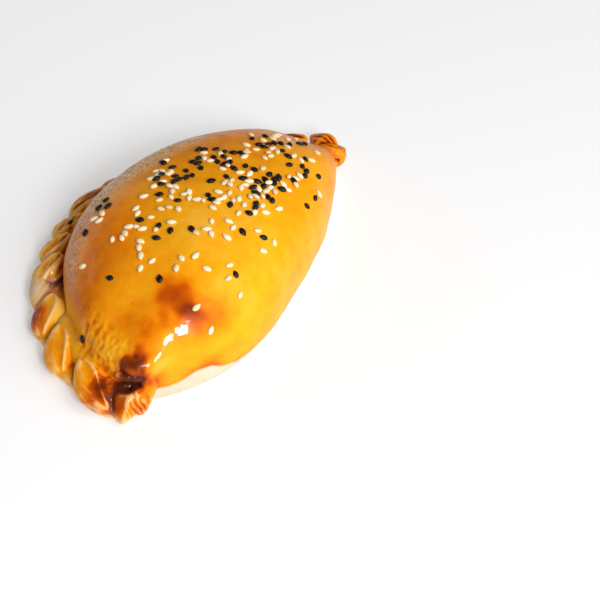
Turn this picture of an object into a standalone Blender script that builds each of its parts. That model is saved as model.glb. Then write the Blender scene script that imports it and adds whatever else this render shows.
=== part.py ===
"""A vegetable empanada: a baked half-moon turnover with a roped edge and a sprinkling of sesame.

It lies on its flat base. X runs from tip to tip, the folded side faces -Y, the roped edge faces +Y
and Z is up. The origin is under the middle of its box, on the surface that it rests on.
All sizes are in metres.
"""

import collections
import math
import random

import bmesh
import bpy
from mathutils import Matrix, Vector, noise
from mathutils.bvhtree import BVHTree

# An egg of dough: its middle, half sizes, heading and dip in degrees, how far it narrows to its
# point, its section, from 2 when round to 1 when ridged, and how far its ridge leans aside.
Lump = collections.namedtuple(
    "Lump", "at size turn dip point power lean", defaults=(0, 0.0, 2, 0.0)
)

# The filled dough, measured from the straight line between its two tips. Each skew makes
# the near half larger than the far half, and the crown leans towards the folded side.
LENGTH = 0.140
SEAM_SAG = 0.052
SEAM_SKEW = -0.09
FOLD_SAG = 0.027
FOLD_SKEW = -0.30
CROWN_HEIGHT = 0.0373
CROWN_SKEW = -0.17
CROWN_LEAN = 0.004
TIP_HEIGHT = 0.0086
WIDEST_HEIGHT = 0.0111
BASE_FLATNESS = 1.35
DOUGH_RINGS = 28
DOUGH_SEGMENTS = 38
DOUGH_WAVINESS = 0.0009
DOUGH_WAVE_SIZE = 0.030

# Low humps and hollows of the dough: the shoulder that rises from the near tip, the blister baked
# beside it, the pinched lump over the near flap, the hollow behind the first fold and the fall
# towards the far tip.
HUMPS = (
    {"at": (-0.0560, -0.0126), "reach": (0.0120, 0.0046), "turn": -24, "rise": 0.0016},
    {"at": (-0.0485, -0.0065), "reach": (0.0080, 0.0075), "turn": 0, "rise": 0.0008},
    {"at": (-0.0650, -0.0035), "reach": (0.0042, 0.0045), "turn": 0, "rise": 0.0010},
    {"at": (-0.0600, 0.0080), "reach": (0.0080, 0.0080), "turn": 0, "rise": -0.0016},
    {"at": (0.0620, 0.0055), "reach": (0.0120, 0.0120), "turn": 0, "rise": -0.0038},
)

# The sealed border under the rope: how far out its middle lies, and its half width and height.
BORDER_MIDDLE = 0.0032
BORDER_RADIUS = (0.0072, 0.0026)
BORDER_STATIONS = 36
BORDER_SIDES = 8

# The rope's folds: where each one's inner end lies, as a share of the seam, and how many times
# the length, width and height of the fold below.
FOLDS = (
    (0.084, 1.18, 1.12, 1.00),
    (0.173, 1.08, 1.26, 1.00),
    (0.252, 1.00, 1.20, 0.98),
    (0.352, 0.80, 1.18, 1.02),
    (0.402, 0.66, 1.25, 1.08),
    (0.456, 0.62, 1.32, 1.14),
    (0.544, 1.04, 1.50, 1.22),
    (0.598, 0.80, 1.24, 1.10),
    (0.650, 0.80, 1.15, 1.04),
    (0.702, 0.78, 1.10, 1.00),
    (0.765, 0.82, 1.12, 1.02),
    (0.828, 0.82, 1.05, 0.98),
    (0.892, 0.86, 1.04, 1.00),
    (0.956, 0.84, 0.96, 0.96),
)

# One fold, from its inner end to its outer one: how far along the seam, how far out, how high.
FOLD_RIDGE = (
    (0.0000, 0.0030, 0.0096),
    (-0.0036, 0.0031, 0.0102),
    (-0.0070, 0.0041, 0.0098),
    (-0.0102, 0.0062, 0.0086),
    (-0.0129, 0.0082, 0.0066),
    (-0.0146, 0.0090, 0.0042),
)
FOLD_EDGE = (
    (0.0006, 0.0046, 0.0088),
    (-0.0016, 0.0076, 0.0072),
    (-0.0044, 0.0102, 0.0052),
    (-0.0080, 0.0114, 0.0038),
    (-0.0116, 0.0109, 0.0028),
    (-0.0140, 0.0094, 0.0022),
)
FOLD_FLANK = (0.0050, 0.0040)
FOLD_THICKNESS = 0.0034
FOLD_MIDDLE = 0.0072
INWARD_GROWTH = 1.12
FOLD_SEGMENTS = 12
FOLD_RINGS = 10

# How high a fold's face stands over the straight line from its ridge to its outer edge.
FOLD_BULGE = 0.0015
FOLD_FACE = (
    (0.00, 0.30),
    (0.12, 0.02),
    (0.30, 0.30),
    (0.55, 0.88),
    (0.75, 1.00),
    (0.90, 0.72),
    (1.00, 0.00),
)

# The gathered dough that fills the groove between the dough and the rope at the near end.
GATHER_RUN = (0.0030, 0.0400)
GATHER_MIDDLE = 0.0006
GATHER_RADIUS = (0.0044, 0.0048)
GATHER_HEIGHT = 0.0056

# The near end: the shoulder, the bump and the cheek on the dough, the tail on the table with its
# two faces, the flap over it, the collar and the base beside it, and the loose face of a fold.
# The far end: a tail on the table, a flap and a collar.
LUMPS = (
    Lump((-0.0617, -0.0078, 0.0163), (0.0092, 0.0043, 0.0041), 155, dip=30),
    Lump((-0.0669, -0.0040, 0.0148), (0.0038, 0.0052, 0.0036), 30),
    Lump((-0.0666, -0.0074, 0.0094), (0.0064, 0.0032, 0.0028), 250, dip=72, point=0.2),
    Lump(
        (-0.0733, -0.0036, 0.0042), (0.0082, 0.0066, 0.0052), 201, dip=18, point=0.6, power=1.25, lean=0.30
    ),
    Lump((-0.0698, -0.0062, 0.0032), (0.0058, 0.0044, 0.0040), 218, dip=12, point=0.4, power=1.5),
    Lump((-0.0692, -0.0036, 0.0124), (0.0056, 0.0020, 0.0016), 300, power=3.5),
    Lump((-0.0716, 0.0046, 0.0030), (0.0076, 0.0076, 0.0056), 110),
    Lump((-0.0738, 0.0022, 0.0018), (0.0104, 0.0066, 0.0020), 96, power=2.6),
    Lump((-0.0452, 0.0496, 0.0036), (0.0116, 0.0038, 0.0036), 213, point=0.3),
    Lump((0.0728, -0.0012, 0.0052), (0.0078, 0.0056, 0.0044), -12, dip=10, point=0.6, power=1.6),
    Lump((0.0695, -0.0030, 0.0100), (0.0056, 0.0030, 0.0025), -83, dip=3, point=0.6),
    Lump((0.0738, 0.0034, 0.0078), (0.0064, 0.0050, 0.0046), 74, dip=-4, point=0.6),
)

# Sesame: how many fall in each patch of the top, in plan, and how far they scatter there. The
# crown carries most of them, in loose handfuls, and a few lie alone towards the near tip.
SPRINKLES = (
    {"at": (-0.022, 0.016), "spread": (0.0090, 0.0070), "white": 22, "black": 4},
    {"at": (-0.008, 0.012), "spread": (0.0080, 0.0090), "white": 16, "black": 8},
    {"at": (-0.014, -0.001), "spread": (0.0080, 0.0040), "white": 8, "black": 2},
    {"at": (-0.002, 0.026), "spread": (0.0035, 0.0050), "white": 6, "black": 5},
    {"at": (-0.006, -0.009), "spread": (0.0070, 0.0040), "white": 8, "black": 4},
    {"at": (0.008, 0.005), "spread": (0.0080, 0.0070), "white": 16, "black": 12},
    {"at": (0.012, -0.005), "spread": (0.0040, 0.0030), "white": 4, "black": 11},
    {"at": (0.016, 0.017), "spread": (0.0040, 0.0030), "white": 6, "black": 9},
    {"at": (0.030, 0.006), "spread": (0.0090, 0.0060), "white": 14, "black": 11},
    {"at": (0.042, 0.006), "spread": (0.0070, 0.0060), "white": 6, "black": 5},
    {"at": (0.028, -0.009), "spread": (0.0100, 0.0050), "white": 8, "black": 8},
    {"at": (-0.028, 0.039), "spread": (0.0100, 0.0040), "white": 3, "black": 3},
)
LONE_WHITE = (
    (-0.048, -0.020),
    (-0.047, -0.014),
    (-0.034, -0.010),
    (-0.032, -0.017),
    (-0.028, -0.015),
    (-0.033, -0.022),
    (-0.044, 0.009),
    (-0.040, 0.007),
    (-0.037, 0.014),
    (-0.035, -0.001),
    (-0.033, 0.022),
    (-0.029, 0.035),
    (-0.007, -0.020),
)
LONE_BLACK = (
    (-0.064, 0.019),
    (-0.050, 0.017),
    (-0.045, 0.001),
    (-0.031, 0.011),
    (-0.029, -0.018),
    (-0.022, 0.036),
)
SEED_SIZE = (0.0034, 0.0021, 0.0013)
SEED_SIZE_RANGE = (0.88, 1.12)
SEED_POINT = 0.35
SEED_SINK = 0.34
SEED_SPACING = 0.0018
SEED_STEEPEST = 0.42
FUSED_SEEDS = 102
FUSED_SPACING = 0.0038

GOLDEN_CRUST = (0.80, 0.38, 0.05, 1.0)
SMOOTH_ANGLE = math.radians(42)


def taper(t, power, fullness):
    """1 in the middle of the turnover and 0 at its tips."""
    return max(0.0, 1.0 - abs(t) ** power) ** fullness


def seam_y(t):
    return SEAM_SAG * taper(t, 2.0, 0.60) * (1 + SEAM_SKEW * t)


def fold_y(t):
    return -FOLD_SAG * taper(t, 2.49, 0.67) * (1 + FOLD_SKEW * t)


def crown_z(t):
    rise = (CROWN_HEIGHT - TIP_HEIGHT) * taper(t, 2.21, 0.55)
    return TIP_HEIGHT + rise * (1 + CROWN_SKEW * t)


def hump_height(x, y):
    """How far the humps lift a point of the top."""
    total = 0.0
    for hump in HUMPS:
        turn = math.radians(hump["turn"])
        dx, dy = x - hump["at"][0], y - hump["at"][1]
        u = (dx * math.cos(turn) + dy * math.sin(turn)) / hump["reach"][0]
        v = (dy * math.cos(turn) - dx * math.sin(turn)) / hump["reach"][1]
        total += hump["rise"] * math.exp(-u * u - v * v)
    return total


def dough_point(direction):
    """Where a point of the unit sphere, with its poles on X, lies on the filled dough."""
    t = max(-1.0, min(1.0, direction.x))
    ring = math.hypot(direction.y, direction.z)
    across, upward = (direction.y / ring, direction.z / ring) if ring > 1e-6 else (0.0, 0.0)
    half_width = (seam_y(t) - fold_y(t)) / 2
    middle = (seam_y(t) + fold_y(t)) / 2
    widest = min(WIDEST_HEIGHT, 0.45 * crown_z(t))
    x = LENGTH / 2 * t
    y = middle + half_width * math.copysign(abs(across) ** 0.88, across)
    y -= CROWN_LEAN * taper(t, 2.0, 0.5) * max(0.0, upward) ** 2
    if upward >= 0:
        z = widest + (crown_z(t) - widest) * upward**0.87 + hump_height(x, y) * upward
    else:
        z = max(0.0, widest * (1 - BASE_FLATNESS * abs(upward) ** 0.55))
    point = Vector((x, y, z))
    wave = noise.noise(point / DOUGH_WAVE_SIZE) * DOUGH_WAVINESS
    point.x += wave * direction.x
    point.y += wave * direction.y
    point.z += wave * max(0.0, direction.z)
    return point


def rim_table(count=600):
    """Points along the seam from the near tip to the far one, each with its distance along it."""
    points, run = [], [0.0]
    for i in range(count + 1):
        t = -math.cos(math.pi * i / count)
        points.append(Vector((LENGTH / 2 * t, seam_y(t), 0.0)))
        if i:
            run.append(run[-1] + (points[-1] - points[-2]).length)
    return points, run


RIM_POINTS, RIM_RUN = rim_table()
RIM_LENGTH = RIM_RUN[-1]


def rim_at(distance):
    """The point at a distance along the seam, and the direction outward there."""
    held = max(0.0, min(RIM_LENGTH, distance))
    low, high = 0, len(RIM_RUN) - 1
    while high - low > 1:
        middle = (low + high) // 2
        if RIM_RUN[middle] <= held:
            low = middle
        else:
            high = middle
    share = (held - RIM_RUN[low]) / (RIM_RUN[high] - RIM_RUN[low])
    point = RIM_POINTS[low].lerp(RIM_POINTS[high], share)
    before = RIM_POINTS[max(0, low - 12)]
    after = RIM_POINTS[min(len(RIM_POINTS) - 1, low + 13)]
    along = (after - before).normalized()
    outward = Vector((-along.y, along.x, 0.0))
    return point + along * (distance - held), outward


def curve_at(knots, share):
    """A point of a smooth curve through knots that are evenly spaced from share 0 to share 1."""
    last = len(knots) - 1
    place = max(0.0, min(1.0, share)) * last
    low = min(int(place), last - 1)
    f = place - low
    before, a, b, after = (Vector(knots[max(0, min(last, low + i))]) for i in (-1, 0, 1, 2))
    bend = (2 * before - 5 * a + 4 * b - after) * f**2 + (3 * a - before - 3 * b + after) * f**3
    return a + ((b - before) * f + bend) / 2


def face_height(across):
    """How much of the bulge a fold has from its foot, at -1, over its ridge, at 0, to its edge, at 1."""
    if across < 0:
        return 0.30 * (1 + across)
    for (start, low), (end, high) in zip(FOLD_FACE, FOLD_FACE[1:]):
        if across <= end:
            return low + (high - low) * (across - start) / (end - start)
    return 0.0


def new_object(name, mesh_maker):
    """A mesh object from a bmesh that mesh_maker fills."""
    shape = bmesh.new()
    mesh_maker(shape)
    if shape.calc_volume(signed=True) < 0:
        bmesh.ops.reverse_faces(shape, faces=shape.faces)
    mesh = bpy.data.meshes.new(name)
    shape.to_mesh(mesh)
    shape.free()
    made = bpy.data.objects.new(name, mesh)
    bpy.context.scene.collection.objects.link(made)
    return made


def ball(shape, segments, rings):
    """A unit sphere in shape, with its poles on X."""
    lying = Matrix.Rotation(math.radians(90), 4, "Y")
    bmesh.ops.create_uvsphere(
        shape, u_segments=segments, v_segments=rings, radius=1, matrix=lying
    )


def dough():
    """The filled half-moon itself."""

    def fill(shape):
        ball(shape, DOUGH_SEGMENTS, DOUGH_RINGS)
        for vertex in shape.verts:
            vertex.co = dough_point(vertex.co)

    return new_object("dough", fill)


def border():
    """The thin sealed border under the folds."""

    def fill(shape):
        ball(shape, BORDER_SIDES, BORDER_STATIONS)
        for vertex in shape.verts:
            along, across, upward = vertex.co
            ring = max(1e-6, math.hypot(across, upward))
            end = min(1.0, ring * 2.5)
            distance = RIM_LENGTH * math.acos(max(-1.0, min(1.0, -along))) / math.pi
            point, outward = rim_at(distance)
            sideways = BORDER_RADIUS[0] * across / ring * end
            place = point + outward * (BORDER_MIDDLE + sideways)
            place.z = 0.0003 + BORDER_RADIUS[1] * (1 + upward / ring * end)
            vertex.co = place

    return new_object("border", fill)


def gathers():
    """The gathered dough at the near end."""

    def fill(shape):
        ball(shape, FOLD_SEGMENTS, FOLD_RINGS)
        start, end = GATHER_RUN
        for vertex in shape.verts:
            along, across, upward = vertex.co
            point, outward = rim_at(start + (end - start) * (1 - along) / 2)
            ring = max(1e-6, math.hypot(across, upward))
            full = min(1.0, ring * 1.3) / ring
            place = point + outward * (GATHER_MIDDLE + GATHER_RADIUS[0] * full * across)
            place.z = GATHER_HEIGHT + GATHER_RADIUS[1] * full * upward
            vertex.co = place

    return new_object("gathers", fill)


def fold_point(unit, inner_end, length, width, lift):
    """Where a point of the unit sphere lies on a fold: a pillow between its ridge and its edge."""
    share = (1 - unit.x) / 2
    ring = math.sqrt(max(1e-6, 1 - unit.x**2))
    across = max(-1.0, min(1.0, unit.y / ring))
    under = max(0.0, min(1.0, -unit.z / ring))
    full = min(1.0, ring * 1.5) ** 0.7
    ridge, edge = curve_at(FOLD_RIDGE, share), curve_at(FOLD_EDGE, share)
    middle = (ridge + edge) / 2
    ridge = middle + (ridge - middle) * full
    edge = middle + (edge - middle) * full
    inward = Vector((ridge.x - edge.x, ridge.y - edge.y, 0.0)).normalized()
    foot = ridge + inward * FOLD_FLANK[0] * full
    foot.z -= FOLD_FLANK[1] * full
    place = ridge + (edge - ridge) * max(0.0, across) + (foot - ridge) * max(0.0, -across)
    height = place.z + (FOLD_BULGE * face_height(across) - FOLD_THICKNESS * under) * full
    wider = width if place.y > FOLD_MIDDLE else min(width, INWARD_GROWTH)
    point, outward = rim_at(inner_end + place.x * length)
    point = point + outward * (FOLD_MIDDLE + (place.y - FOLD_MIDDLE) * wider)
    point.z = max(0.0004, height * lift)
    return point


def fold(share, length, width, lift):
    """One fold of the rope, whose inner end lies at that share of the seam."""

    def fill(shape):
        ball(shape, FOLD_SEGMENTS, FOLD_RINGS)
        for vertex in shape.verts:
            vertex.co = fold_point(vertex.co, share * RIM_LENGTH, length, width, lift)

    return new_object("fold", fill)


def lump_solid(lump):
    """A lump of dough: an egg that points along its turn and dips."""

    def fill(shape):
        turned = (
            Matrix.Translation(lump.at)
            @ Matrix.Rotation(math.radians(lump.turn), 4, "Z")
            @ Matrix.Rotation(math.radians(lump.dip), 4, "Y")
        )
        ball(shape, FOLD_SEGMENTS, FOLD_RINGS)
        for vertex in shape.verts:
            x, y, z = vertex.co
            section = (abs(y) ** lump.power + abs(z) ** lump.power) ** (1 / lump.power)
            shrink = math.hypot(y, z) / section if section > 1e-9 else 1.0
            narrow = (1 - lump.point * max(0.0, x)) * shrink
            length, width, thickness = lump.size
            upward = z * thickness * narrow
            vertex.co = turned @ Vector((x * length, y * width * narrow + lump.lean * upward, upward))
            vertex.co.z = max(0.0004, vertex.co.z)

    return new_object("lump", fill)


def sprinkle():
    """Every seed as a dictionary, the largest first: its plan position, colour, size and heading."""
    chance = random.Random(7)
    seeds = []

    def drop(x, y, kind):
        size = chance.uniform(*SEED_SIZE_RANGE)
        heading = chance.uniform(0, 2 * math.pi)
        seeds.append({"x": x, "y": y, "kind": kind, "size": size, "heading": heading})

    for x, y in LONE_WHITE:
        drop(x, y, "white")
    for x, y in LONE_BLACK:
        drop(x, y, "black")
    for patch in SPRINKLES:
        for kind in ("white", "black"):
            for _ in range(patch[kind]):
                for _ in range(60):
                    x = chance.gauss(patch["at"][0], patch["spread"][0])
                    y = chance.gauss(patch["at"][1], patch["spread"][1])
                    t = x / (LENGTH / 2)
                    inside = abs(t) < 0.93 and 0.90 * fold_y(t) < y < 0.86 * seam_y(t)
                    clear = all(math.hypot(x - s["x"], y - s["y"]) > SEED_SPACING for s in seeds)
                    if inside and clear:
                        drop(x, y, kind)
                        break
    return sorted(seeds, key=lambda seed: -seed["size"])


def fused_seeds(crust):
    """Teardrops, half sunk in the crust, for the largest seeds that stand clear of each other."""
    tree = BVHTree.FromObject(crust, bpy.context.evaluated_depsgraph_get())
    placed, made = [], []
    for seed in sprinkle():
        near = any(math.hypot(seed["x"] - x, seed["y"] - y) < FUSED_SPACING for x, y in placed)
        hit, normal, _, _ = tree.ray_cast(Vector((seed["x"], seed["y"], 1)), Vector((0, 0, -1)))
        if near or hit is None or normal.z < SEED_STEEPEST or len(made) == FUSED_SEEDS:
            continue
        placed.append((seed["x"], seed["y"]))
        made.append(seed_solid(seed, hit, normal))
    return made


def seed_solid(seed, hit, normal):
    """One teardrop at hit, lying along the surface there."""

    def fill(shape):
        bmesh.ops.create_icosphere(shape, subdivisions=1, radius=1)
        length, width, thickness = (side * seed["size"] / 2 for side in SEED_SIZE)
        upright = normal.to_track_quat("Z", "Y").to_matrix().to_4x4()
        placed = (
            Matrix.Translation(hit + normal * thickness * (1 - 2 * SEED_SINK))
            @ upright
            @ Matrix.Rotation(seed["heading"], 4, "Z")
        )
        for vertex in shape.verts:
            narrow = 1 - SEED_POINT * max(0.0, vertex.co.x)
            vertex.co.x *= length
            vertex.co.y *= width * narrow
            vertex.co.z *= thickness
            vertex.co = placed @ vertex.co

    return new_object("seed", fill)


def outer_skin(mesh):
    """Leaves only the largest closed skin of mesh, which fills sealed hollows and drops scraps."""
    shape = bmesh.new()
    shape.from_mesh(mesh)
    skins, seen = [], set()
    for first in shape.verts:
        if first in seen:
            continue
        skin, waiting = [], [first]
        seen.add(first)
        while waiting:
            vertex = waiting.pop()
            skin.append(vertex)
            for edge in vertex.link_edges:
                other = edge.other_vert(vertex)
                if other not in seen:
                    seen.add(other)
                    waiting.append(other)
        skins.append(skin)
    skins.sort(key=len)
    bmesh.ops.delete(shape, geom=[v for skin in skins[:-1] for v in skin], context="VERTS")
    shape.to_mesh(mesh)
    shape.free()


def fuse(base, others):
    """Joins the others to base with one Boolean union, and removes them."""
    joined = bpy.data.collections.new("joined")
    bpy.context.scene.collection.children.link(joined)
    for other in others:
        joined.objects.link(other)
    union = base.modifiers.new("union", "BOOLEAN")
    union.operation = "UNION"
    union.operand_type = "COLLECTION"
    union.collection = joined
    union.solver = "MANIFOLD"
    graph = bpy.context.evaluated_depsgraph_get()
    mesh = bpy.data.meshes.new_from_object(base.evaluated_get(graph))
    base.modifiers.remove(union)
    outer_skin(mesh)
    base.data = mesh
    for other in others:
        bpy.data.objects.remove(other)
    bpy.data.collections.remove(joined)


def baked_material():
    """The crust's main colour: the glaze and the seeds' own colours belong to the visual model."""
    material = bpy.data.materials.new("baked_crust")
    material.use_nodes = True
    surface = material.node_tree.nodes["Principled BSDF"]
    surface.inputs["Base Color"].default_value = GOLDEN_CRUST
    surface.inputs["Roughness"].default_value = 0.4
    return material


def centre_on_base(crust):
    """Moves the mesh so that the origin is under the middle of its box."""
    points = [vertex.co for vertex in crust.data.vertices]
    low = Vector(min(point[axis] for point in points) for axis in range(3))
    high = Vector(max(point[axis] for point in points) for axis in range(3))
    shift = Vector((-(low.x + high.x) / 2, -(low.y + high.y) / 2, -low.z))
    crust.data.transform(Matrix.Translation(shift))


def main():
    for old in list(bpy.data.objects):
        bpy.data.objects.remove(old)
    crust = dough()
    folds = [fold(*sizes) for sizes in FOLDS]
    fuse(crust, [border(), gathers(), *folds, *(lump_solid(lump) for lump in LUMPS)])
    fuse(crust, fused_seeds(crust))
    centre_on_base(crust)
    crust.name = "seeded_crust"
    crust.data.name = "seeded_crust"
    crust.data.materials.append(baked_material())
    crust.data.shade_smooth()
    crust.data.set_sharp_from_angle(angle=SMOOTH_ANGLE)


main()
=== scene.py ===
"""A baked vegetable empanada: its egg-washed crust with a roped seam, and the sesame on it.

Sizes are in metres. The shapes are worked out on the straight line between the tips of the
dough, X from the near tip to the far one, and moved into the part's frame at the end.
"""

import collections
import math
import random

import bmesh
import bpy
import numpy as np
from mathutils import Matrix, Vector, noise
from mathutils.bvhtree import BVHTree


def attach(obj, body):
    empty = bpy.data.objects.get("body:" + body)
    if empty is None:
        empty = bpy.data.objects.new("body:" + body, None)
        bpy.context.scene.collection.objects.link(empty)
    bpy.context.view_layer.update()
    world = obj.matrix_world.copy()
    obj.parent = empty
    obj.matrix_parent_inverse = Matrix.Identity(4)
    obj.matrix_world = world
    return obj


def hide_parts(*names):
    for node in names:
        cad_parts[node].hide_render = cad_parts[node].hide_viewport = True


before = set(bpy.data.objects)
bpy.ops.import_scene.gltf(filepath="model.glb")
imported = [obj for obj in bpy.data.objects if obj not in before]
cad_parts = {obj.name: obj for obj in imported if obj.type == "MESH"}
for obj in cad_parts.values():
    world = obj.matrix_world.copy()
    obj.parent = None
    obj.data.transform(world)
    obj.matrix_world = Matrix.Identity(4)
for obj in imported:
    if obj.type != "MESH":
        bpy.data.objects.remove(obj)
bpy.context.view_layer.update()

bl_info = {
    "name": "Vegetable empanada",
    "version": (1, 0, 0),
    "blender": (4, 5, 0),
    "location": "3D View > Sidebar > Empanada",
    "description": "Makes a baked half-moon turnover with a roped seam and sesame",
    "category": "Add Mesh",
}

# An egg of dough: its middle, half sizes, heading and dip in degrees, how far it narrows to its
# point, its section, from 2 when round to 1 when ridged, and how far its ridge leans aside.
Lump = collections.namedtuple("Lump", "at size turn dip point power lean", defaults=(0, 0.0, 2, 0.0))

# From the line between the tips to the part's frame, whose origin is under the middle of its box.
TIPS_TO_FRAME = Vector((0.000401, -0.018398, 0.0))

# The dough's outline and profile: how each narrows to the tips, and how it leans to the near one.
SEAM_TAPER = (2.0, 0.60)
FOLD_TAPER = (2.49, 0.67)
CROWN_TAPER = (2.21, 0.55)
SEAM_SKEW = -0.09
FOLD_SKEW = -0.30
CROWN_SKEW = -0.17
SIDE_POWER = 0.88
CROWN_POWER = 0.87
BASE_POWER = 0.55
CROWN_LEAN = 0.004
TIP_HEIGHT = 0.0086
WIDEST_HEIGHT = 0.0111
WIDEST_SHARE = 0.45
BASE_FLATNESS = 1.35
DOUGH_WAVINESS = 0.0009
DOUGH_WAVE_SIZE = 0.030

# How finely the seam is divided, how many steps its direction is taken over, at how many places
# the nearest one is looked for, and for how many points at once.
RIM_STEPS = 600
TANGENT_STEPS = 12
SEAM_PLACES = 400
AT_ONCE = 8192

# Where the dough swells or sinks: how far each hump spreads, its heading in degrees and its rise.
Hump = collections.namedtuple("Hump", "at reach turn rise")
HUMPS = (
    Hump((-0.0560, -0.0126), (0.0120, 0.0046), -24, 0.0016),
    Hump((-0.0485, -0.0065), (0.0080, 0.0075), 0, 0.0008),
    Hump((-0.0650, -0.0035), (0.0042, 0.0045), 0, 0.0010),
    Hump((-0.0600, 0.0080), (0.0080, 0.0080), 0, -0.0016),
    Hump((0.0620, 0.0055), (0.0120, 0.0120), 0, -0.0038),
)

# The sealed border under the rope: how far out its middle lies, its half width and height, the
# height and length of its ripple, how square its section is and its gap above the table.
BORDER_MIDDLE = 0.0032
BORDER_RADIUS = (0.0068, 0.0026)
BORDER_RIPPLE = (0.07, 0.0026)
BORDER_POWER = (0.5, 0.8)
BORDER_GAP = 0.0003

# The rope's folds: where each one's inner end lies, as a share of the seam, and how many times
# the length, width and height of the fold below.
FOLDS = (
    (0.084, 1.18, 1.12, 1.00),
    (0.173, 1.08, 1.26, 1.00),
    (0.252, 1.00, 1.20, 0.98),
    (0.352, 0.80, 1.18, 1.02),
    (0.402, 0.66, 1.25, 1.08),
    (0.456, 0.62, 1.32, 1.14),
    (0.544, 1.04, 1.50, 1.22),
    (0.598, 0.80, 1.24, 1.10),
    (0.650, 0.80, 1.15, 1.04),
    (0.702, 0.78, 1.10, 1.00),
    (0.765, 0.82, 1.12, 1.02),
    (0.828, 0.82, 1.05, 0.98),
    (0.892, 0.86, 1.04, 1.00),
    (0.956, 0.84, 0.96, 0.96),
)

# One fold, from its inner end to its outer one: how far along the seam, how far out, how high.
FOLD_RIDGE = (
    (0.0000, 0.0030, 0.0096),
    (-0.0036, 0.0031, 0.0102),
    (-0.0070, 0.0041, 0.0098),
    (-0.0102, 0.0062, 0.0086),
    (-0.0129, 0.0082, 0.0066),
    (-0.0146, 0.0090, 0.0042),
)
FOLD_EDGE = (
    (0.0006, 0.0046, 0.0088),
    (-0.0016, 0.0076, 0.0072),
    (-0.0044, 0.0102, 0.0052),
    (-0.0080, 0.0114, 0.0038),
    (-0.0116, 0.0109, 0.0028),
    (-0.0140, 0.0094, 0.0022),
)
FOLD_FLANK = (0.0050, 0.0040)
FOLD_THICKNESS = 0.0034
FOLD_MIDDLE = 0.0072
FOLD_INNER_WIDTH = 1.12

# How far above the table the lowest points of a fold or a lump are kept.
TABLE_GAP = 0.0004

# How high a fold's face stands over the straight line from its ridge to its outer edge.
FOLD_BULGE = 0.0015
FOLD_FACE = (
    (0.00, 0.30),
    (0.12, 0.02),
    (0.30, 0.30),
    (0.55, 0.88),
    (0.75, 1.00),
    (0.90, 0.72),
    (1.00, 0.00),
)

# The gathered dough that fills the groove between the dough and the rope at the near end.
GATHERS = {"run": (0.0030, 0.0400), "middle": 0.0006, "radius": (0.0044, 0.0048), "height": 0.0056}

# The pinched ends, and what stands on the dough beside them.
END_LUMPS = (
    Lump((-0.0733, -0.0036, 0.0042), (0.0082, 0.0066, 0.0052), 201, dip=18, point=0.6, power=1.25, lean=0.30),
    Lump((-0.0698, -0.0062, 0.0032), (0.0058, 0.0044, 0.0040), 218, dip=12, point=0.4, power=1.5),
    Lump((-0.0692, -0.0036, 0.0124), (0.0056, 0.0020, 0.0016), 300, power=3.5),
    Lump((-0.0708, -0.0012, 0.0080), (0.0026, 0.0014, 0.0018), 296, power=2.5),
    Lump((-0.0716, 0.0046, 0.0030), (0.0076, 0.0076, 0.0056), 110),
    Lump((-0.0738, 0.0022, 0.0018), (0.0104, 0.0066, 0.0020), 96, power=2.6),
    Lump((-0.0452, 0.0496, 0.0036), (0.0116, 0.0038, 0.0036), 213, point=0.3),
    Lump((0.0728, -0.0012, 0.0052), (0.0078, 0.0056, 0.0044), -12, dip=10, point=0.6, power=1.6),
    Lump((0.0695, -0.0030, 0.0100), (0.0056, 0.0030, 0.0025), -83, dip=3, point=0.6),
    Lump((0.0738, 0.0034, 0.0078), (0.0064, 0.0050, 0.0046), 74, dip=-4, point=0.6),
)
DOUGH_LUMPS = (
    Lump((-0.0617, -0.0078, 0.0163), (0.0092, 0.0043, 0.0041), 155, dip=30),
    Lump((-0.0669, -0.0040, 0.0148), (0.0038, 0.0052, 0.0036), 30),
    Lump((-0.0666, -0.0074, 0.0094), (0.0064, 0.0032, 0.0028), 250, dip=72, point=0.2),
)

# Hollows pressed into the finished crust: the mouth under the near flap, the pinch beside it and
# the shallow one that straightens the shoulder.
Hollow = collections.namedtuple("Hollow", "at reach depth")
HOLLOWS = (
    Hollow((-0.0706, -0.0026, 0.0097), (0.0026, 0.0034, 0.0010), 0.0030),
    Hollow((-0.0720, -0.0024, 0.0062), (0.0018, 0.0013, 0.0018), 0.0014),
    Hollow((-0.0738, 0.0050, 0.0080), (0.0034, 0.0030, 0.0040), 0.0007),
    Hollow((-0.0580, -0.0120, 0.0232), (0.0040, 0.0034, 0.0044), 0.00038),
)

# The line down the shoulder of the near end, where the glaze is thickest, and how wide it is there.
SHOULDER = ((-0.0546, -0.0131, 0.0256), (-0.0591, -0.0118, 0.0226), (-0.0650, -0.0096, 0.0180))
SHOULDER_REACH = 0.0029
SOFT_SHOULDER = {"at": (-0.0640, -0.0090, 0.0165), "reach": 0.0075}

# The wrinkled skin of the glaze, which also carries a painted sheen: where it starts and ends along the seam
# and in height, how far in from the seam it reaches, and how deep its wrinkles are.
LEATHER = {
    "starts": (0.030, 0.046),
    "ends": (0.155, 0.120),
    "height": (0.0120, 0.0240),
    "reach": (0.0035, 0.0160),
    "widening": 0.20,
    "widens_from": 0.038,
    "edge": (-0.0040, 0.0010),
    "depth": 0.00026,
}

# Waves of the crust: how high, how long, and which of the patterns.
Wave = collections.namedtuple("Wave", "depth size seed")
SWELL = Wave(0.00022, 0.011, 3.0)
RIPPLE = Wave(0.00010, 0.0048, 9.0)
FINE_GRAIN = Wave(0.00004, 0.0017, 5.0)
BROKEN_GLAZE = Wave(0.00005, 0.0017, 21.0)
EDGE_WAVE = Wave(0.0010, 0.010, 8.0)
EDGE_RIPPLE = Wave(0.0005, 0.003, 2.0)
LOW_EDGE_WAVE = Wave(0.0006, 0.004, 8.0)
BAKE_CLOUD = Wave(0.07, 0.016, 1.0)
BAKE_SPOT = Wave(0.05, 0.006, 4.0)
PATCH_EDGE = Wave(0.30, 0.0042, 6.0)

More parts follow.
